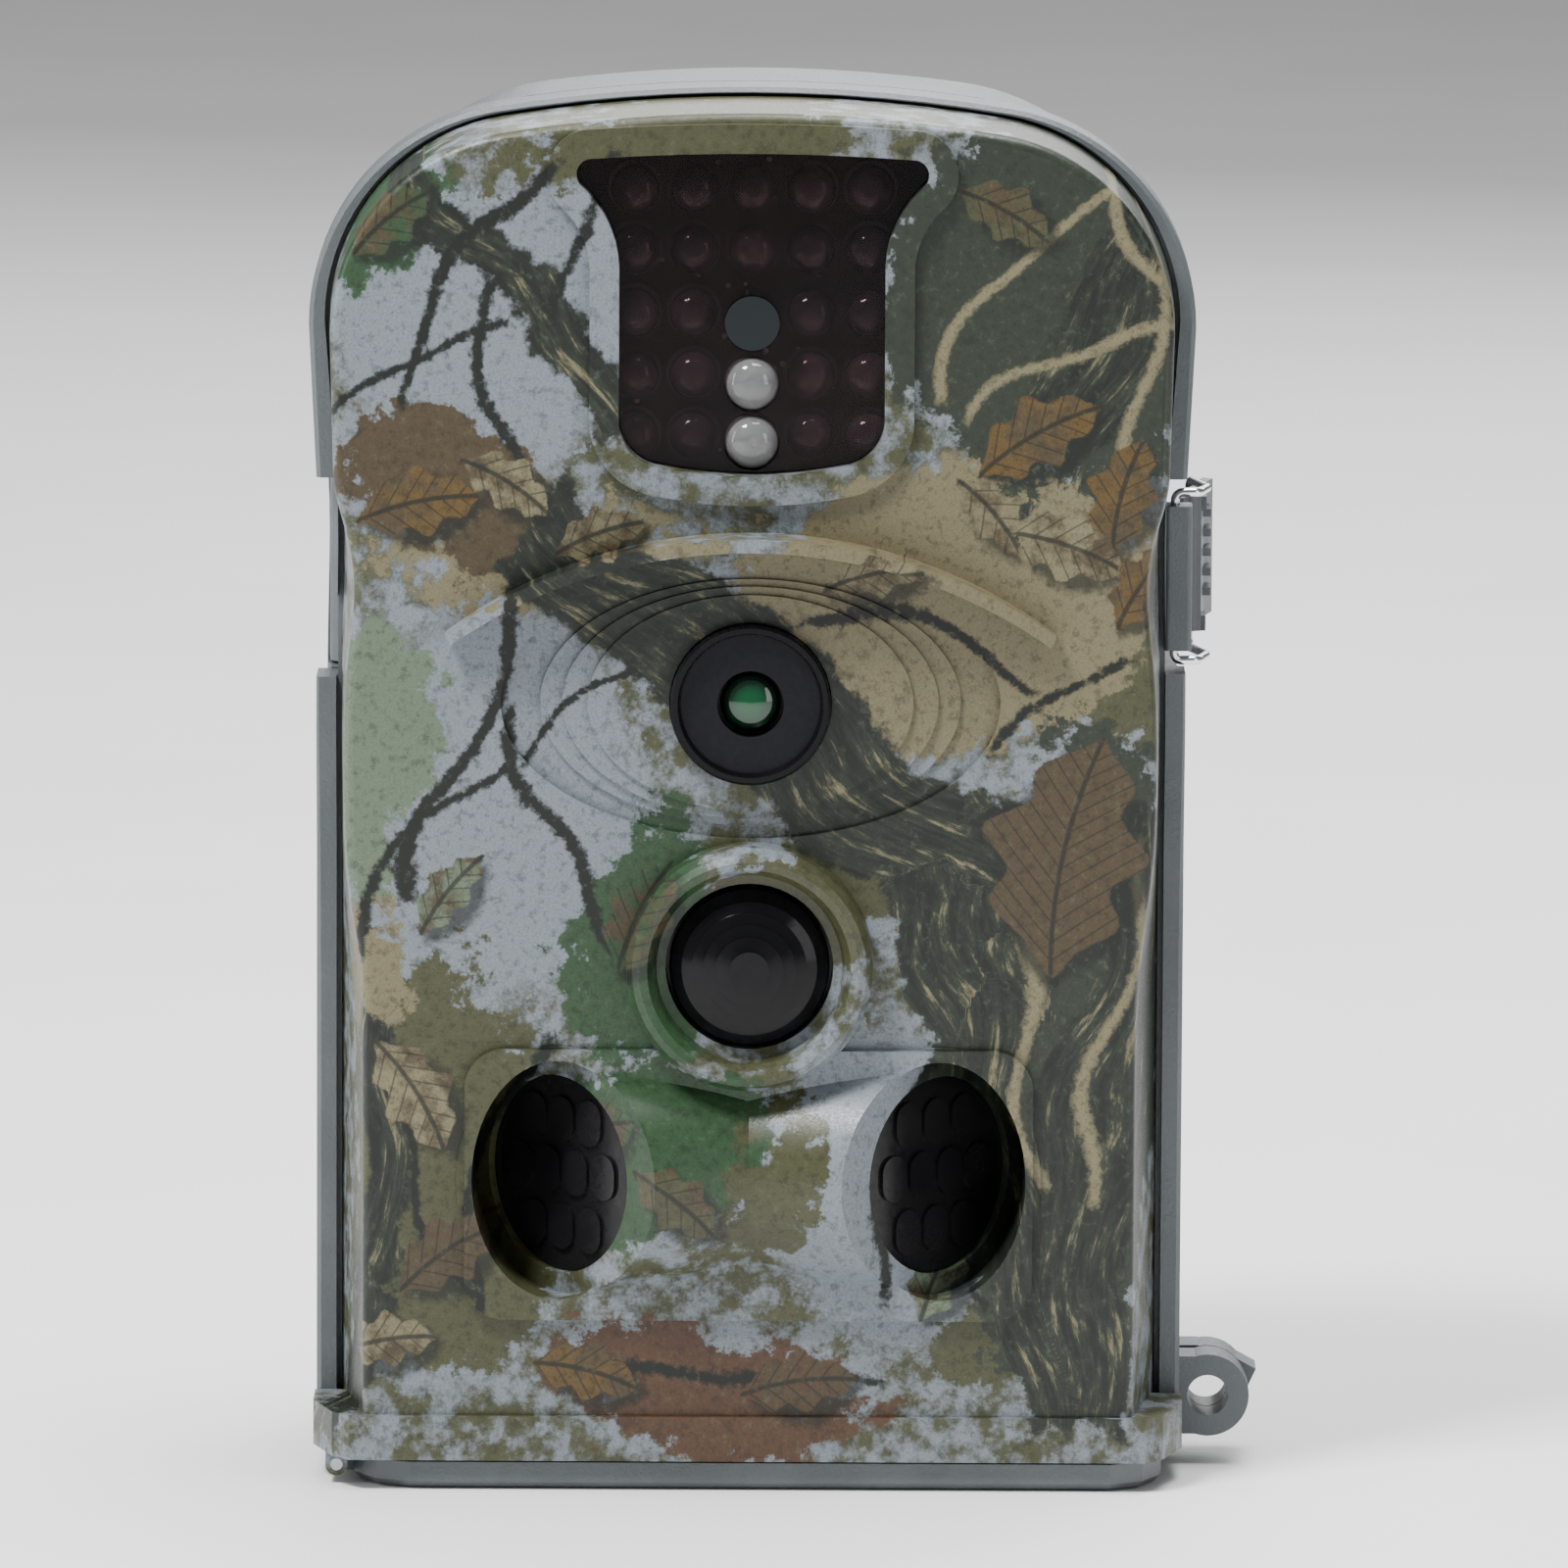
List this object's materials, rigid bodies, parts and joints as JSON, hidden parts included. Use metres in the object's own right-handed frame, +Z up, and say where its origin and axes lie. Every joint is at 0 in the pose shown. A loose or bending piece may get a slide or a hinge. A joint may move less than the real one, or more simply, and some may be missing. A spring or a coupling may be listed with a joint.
{
  "type": "trail camera",
  "caption": "Weatherproof trail camera that opens like a book on a side hinge, with an infrared lamp window, hooded lens, front and side motion sensors, wire latch and bottom control door.",
  "frame": {"origin": "centre of the footprint on the bottom face of the rear housing", "axes": "+X to the viewer's right when looking at the lens, the lens looks along -Y, +Z up"},
  "size_m": [0.0953, 0.0567, 0.1388],
  "materials": {
    "grey_shell": "satin, fine moulded grain",
    "grey_lever": "satin",
    "camo_shell": "satin woodland camouflage print",
    "black_plastic": "matte",
    "battery_wrap": "printed sleeve",
    "spring_steel": "plated",
    "screw_steel": "zinc plated",
    "bright_wire": "bright nickel",
    "gold_contact": "gold plated",
    "brass": "machined",
    "seal_rubber": "matte",
    "ir_black": "high gloss, infrared pass",
    "ir_led": "smoked epoxy",
    "clear_led": "clear epoxy",
    "sensor_blue": "gloss",
    "circuit_board": "solder mask",
    "black_board": "black solder mask",
    "lens_black": "matte",
    "coated_glass": "green coated",
    "filter_glass": "coated pane in a carriage",
    "pir_black": "moulded rings",
    "pir_array": "moulded lens array",
    "sensor_can": "drawn can",
    "chip_black": "moulded epoxy",
    "lcd_glass": "reflective display",
    "socket_steel": "pressed tin plate",
    "key_grey": "satin",
    "card_blue": "satin"
  },
  "bodies": {
    "rear": {"rear_housing": "grey_shell", "battery_tray": "black_plastic", "battery_cells": "battery_wrap", "battery_springs": "spring_steel", "battery_contacts": "spring_steel", "tray_screws": "screw_steel", "power_plungers": "gold_contact", "tripod_insert": "brass"},
    "front": {"av_jack": "black_plastic", "board_chips": "chip_black", "board_screws": "screw_steel", "card_socket": "socket_steel", "contact_pads": "gold_contact", "control_board": "circuit_board", "control_panel": "black_plastic", "cover_screws": "screw_steel", "dc_jack": "black_plastic", "door_pin": "screw_steel", "front_cover": "camo_shell", "front_frame": "grey_shell", "hinge_pin": "screw_steel", "image_sensor": "circuit_board", "indicator_leds": "clear_led", "ir_cut_housing": "black_plastic", "ir_leds": "ir_led", "ir_window": "ir_black", "key_switches": "chip_black", "led_board": "black_board", "left_pir_lens": "pir_array", "lens_barrel": "lens_black", "lens_glass": "coated_glass", "lens_ring": "lens_black", "light_sensor": "sensor_blue", "main_board": "circuit_board", "pir_board": "circuit_board", "pir_dome": "pir_black", "pir_sensor": "sensor_can", "right_pir_lens": "pir_array", "seal_gasket": "seal_rubber", "side_pir_boards": "circuit_board", "side_pir_sensors": "sensor_can", "status_lcd": "lcd_glass", "usb_jack": "socket_steel"},
    "door": {"bottom_door": "grey_shell"},
    "bail": {"latch_bail": "bright_wire"},
    "lever": {"latch_lever": "grey_lever"},
    "switch": {"power_switch": "key_grey"},
    "card": {"sd_card": "card_blue"},
    "filter": {"ir_cut_filter": "filter_glass"},
    "button_up": {"key_up": "key_grey"},
    "button_down": {"key_down": "key_grey"},
    "button_left": {"key_left": "key_grey"},
    "button_right": {"key_right": "key_grey"},
    "button_ok": {"key_ok": "key_grey"},
    "button_menu": {"key_menu": "key_grey"}
  },
  "joints": [
    {"name": "front_hinge", "type": "hinge", "parent": "rear", "child": "front", "pos_m": [-0.0402, 0.00065, 0.0896], "axis": [0, 0, -1], "range_deg": [0, 90]},
    {"name": "latch_bail_pivot", "type": "hinge", "parent": "front", "child": "bail", "pos_m": [0.0422, -0.006, 0.08975], "axis": [0, 0, -1], "range_deg": [0, 90]},
    {"name": "latch_lever_pivot", "type": "hinge", "parent": "bail", "child": "lever", "pos_m": [0.0439, 0.004, 0.08975], "axis": [0, 0, -1], "range_deg": [0, 120]},
    {"name": "bottom_door_hinge", "type": "hinge", "parent": "front", "child": "door", "pos_m": [-0.041, -0.0139, 0.0017], "axis": [0, 1, 0], "range_deg": [0, 100]},
    {"name": "power_switch_slide", "type": "slide", "parent": "front", "child": "switch", "axis": [1, 0, 0], "range_m": [-0.002, 0.002]},
    {"name": "card_slide", "type": "slide", "parent": "front", "child": "card", "axis": [0, 0, -1], "range_m": [0, 0.003]},
    {"name": "filter_slide", "type": "slide", "parent": "front", "child": "filter", "axis": [1, 0, 0], "range_m": [0, 0.0055]},
    {"name": "key_up_press", "type": "slide", "parent": "front", "child": "button_up", "axis": [0, 0, 1], "range_m": [0, 0.0005], "stiffness_N_per_m": 300, "springref_m": -0.0002},
    {"name": "key_down_press", "type": "slide", "parent": "front", "child": "button_down", "axis": [0, 0, 1], "range_m": [0, 0.0005], "stiffness_N_per_m": 300, "springref_m": -0.0002},
    {"name": "key_left_press", "type": "slide", "parent": "front", "child": "button_left", "axis": [0, 0, 1], "range_m": [0, 0.0005], "stiffness_N_per_m": 300, "springref_m": -0.0002},
    {"name": "key_right_press", "type": "slide", "parent": "front", "child": "button_right", "axis": [0, 0, 1], "range_m": [0, 0.0005], "stiffness_N_per_m": 300, "springref_m": -0.0002},
    {"name": "key_ok_press", "type": "slide", "parent": "front", "child": "button_ok", "axis": [0, 0, 1], "range_m": [0, 0.0005], "stiffness_N_per_m": 300, "springref_m": -0.0002},
    {"name": "key_menu_press", "type": "slide", "parent": "front", "child": "button_menu", "axis": [0, 0, 1], "range_m": [0, 0.0005], "stiffness_N_per_m": 300, "springref_m": -0.0002}
  ]
}
